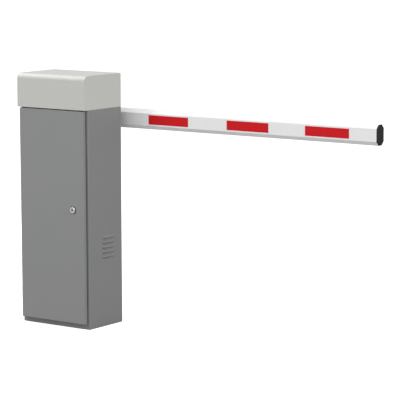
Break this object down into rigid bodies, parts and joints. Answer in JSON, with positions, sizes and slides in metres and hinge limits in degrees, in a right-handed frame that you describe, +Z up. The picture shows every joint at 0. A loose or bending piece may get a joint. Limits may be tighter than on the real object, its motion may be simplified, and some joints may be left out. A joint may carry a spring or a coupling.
{
  "type": "parking barrier gate",
  "caption": "Parking barrier gate: steel cabinet with hinged door and lift-off hood, and a geared, spring-balanced octagonal boom that swings up.",
  "frame": {"origin": "centre of the cabinet's footprint at the ground, without the door", "axes": "+X along the lowered boom, +Y to the back where the boom is, +Z up"},
  "size_m": [1.5425, 0.345, 1.03],
  "materials": {
    "cabinet_paint": "satin powder coat, mid grey",
    "hood_paint": "satin powder coat, pale warm grey",
    "base_steel": "dark powder coat",
    "zinc_steel": "zinc plated",
    "black_steel": "black painted steel",
    "bright_steel": "ground and polished",
    "lock_chrome": "chrome plated",
    "cast_aluminium": "sand cast, matt",
    "boom_white": "white powder coated extrusion",
    "red_reflective": "reflective film",
    "black_rubber": "matt",
    "black_plastic": "moulded",
    "grey_plastic": "moulded",
    "bronze": "cut bronze",
    "spring_steel": "oiled spring steel",
    "circuit_green": "solder mask",
    "terminal_plastic": "moulded",
    "copper_windings": "enamelled windings",
    "castor_iron": "machined cast iron"
  },
  "bodies": {
    "cabinet": {"balance_springs": "spring_steel", "base_plate": "base_steel", "bearing_balls": "bright_steel", "bearing_housings": "castor_iron", "cable_glands": "black_plastic", "capacitor": "cast_aluminium", "circuit_breaker": "grey_plastic", "control_board": "circuit_green", "control_box": "grey_plastic", "control_box_lid": "grey_plastic", "din_rail": "zinc_steel", "door_gasket": "black_rubber", "equipment_plate": "zinc_steel", "frame_bolts": "zinc_steel", "front_frame": "cabinet_paint", "gearbox_cover": "cast_aluminium", "gearbox_housing": "cast_aluminium", "hinge_body_barrels": "cabinet_paint", "left_side_panel": "cabinet_paint", "limit_sensors": "bright_steel", "mechanism_plate": "zinc_steel", "motor_cable": "black_rubber", "motor_housing": "cast_aluminium", "motor_stator": "copper_windings", "motor_terminal_box": "black_plastic", "mounting_rails": "zinc_steel", "rail_terminals": "terminal_plastic", "rear_bearing_plate": "zinc_steel", "rear_panel": "cabinet_paint", "right_side_panel": "cabinet_paint", "sensor_bracket": "zinc_steel", "spring_adjusters": "zinc_steel", "spring_anchor": "black_steel", "steel_posts": "zinc_steel", "stop_sleeves": "black_rubber"},
    "boom": {"spindle": "bright_steel", "spindle_rings_and_keys": "bright_steel", "lever": "black_steel", "limit_cams": "cast_aluminium", "boom_saddle": "black_steel", "clamp_plate": "black_steel", "clamp_bolts": "zinc_steel", "boom_tube": "boom_white", "boom_caps": "black_plastic", "red_stickers": "red_reflective"},
    "spring_eyes": {"spring_upper_plugs": "zinc_steel"},
    "crank": {"output_shaft": "bright_steel", "worm_wheel": "bronze", "crank_arm": "black_steel"},
    "link": {"link_rod": "zinc_steel"},
    "worm": {"worm_shaft": "bright_steel", "handwheel": "black_plastic"},
    "door": {"door_panel": "cabinet_paint", "door_stiffener": "zinc_steel", "hinge_door_barrels": "cabinet_paint", "lock_body": "lock_chrome"},
    "lock": {"lock_plug": "lock_chrome", "lock_cam": "zinc_steel"},
    "hood": {"hood_shell": "hood_paint"},
    "toggle": {"breaker_toggle": "black_plastic"}
  },
  "joints": [
    {"name": "boom_swing", "type": "hinge", "parent": "cabinet", "child": "boom", "pos_m": [0, -0.066, 0.841], "axis": [0, -1, 0], "range_deg": [0, 90], "deforming": ["balance_springs"]},
    {"name": "spring_eye_turn", "type": "hinge", "parent": "boom", "child": "spring_eyes", "pos_m": [-0.0495, -0.066, 0.8905], "axis": [0, -1, 0], "range_deg": [-90, 0]},
    {"name": "crank_turn", "type": "hinge", "parent": "cabinet", "child": "crank", "pos_m": [0, -0.066, 0.6], "axis": [0, -1, 0], "range_deg": [0, 90]},
    {"name": "link_turn", "type": "hinge", "parent": "crank", "child": "link", "pos_m": [0.0495, -0.08, 0.5505], "axis": [0, -1, 0], "range_deg": [-90, 0]},
    {"name": "worm_turn", "type": "hinge", "parent": "cabinet", "child": "worm", "pos_m": [0.045, 0.056, 0.6], "axis": [0, 0, 1], "range_deg": [0, 2700]},
    {"name": "door_swing", "type": "hinge", "parent": "cabinet", "child": "door", "pos_m": [-0.17, -0.114, 0.023], "axis": [0, 0, -1], "range_deg": [0, 110]},
    {"name": "lock_turn", "type": "hinge", "parent": "door", "child": "lock", "pos_m": [0.109, -0.128, 0.488], "axis": [0, -1, 0], "range_deg": [0, 90]},
    {"name": "hood_lift", "type": "slide", "parent": "cabinet", "child": "hood", "axis": [0, 0, 1], "range_m": [0, 0.18]},
    {"name": "toggle_flip", "type": "hinge", "parent": "cabinet", "child": "toggle", "pos_m": [-0.106, -0.079, 0.084], "axis": [1, 0, 0], "range_deg": [-32, 32]}
  ],
  "couplings": [
    {"joint": "spring_eye_turn", "follows": "boom_swing", "ratio": -1},
    {"joint": "crank_turn", "follows": "boom_swing", "ratio": 1},
    {"joint": "link_turn", "follows": "boom_swing", "ratio": -1},
    {"joint": "worm_turn", "follows": "boom_swing", "ratio": 30}
  ]
}
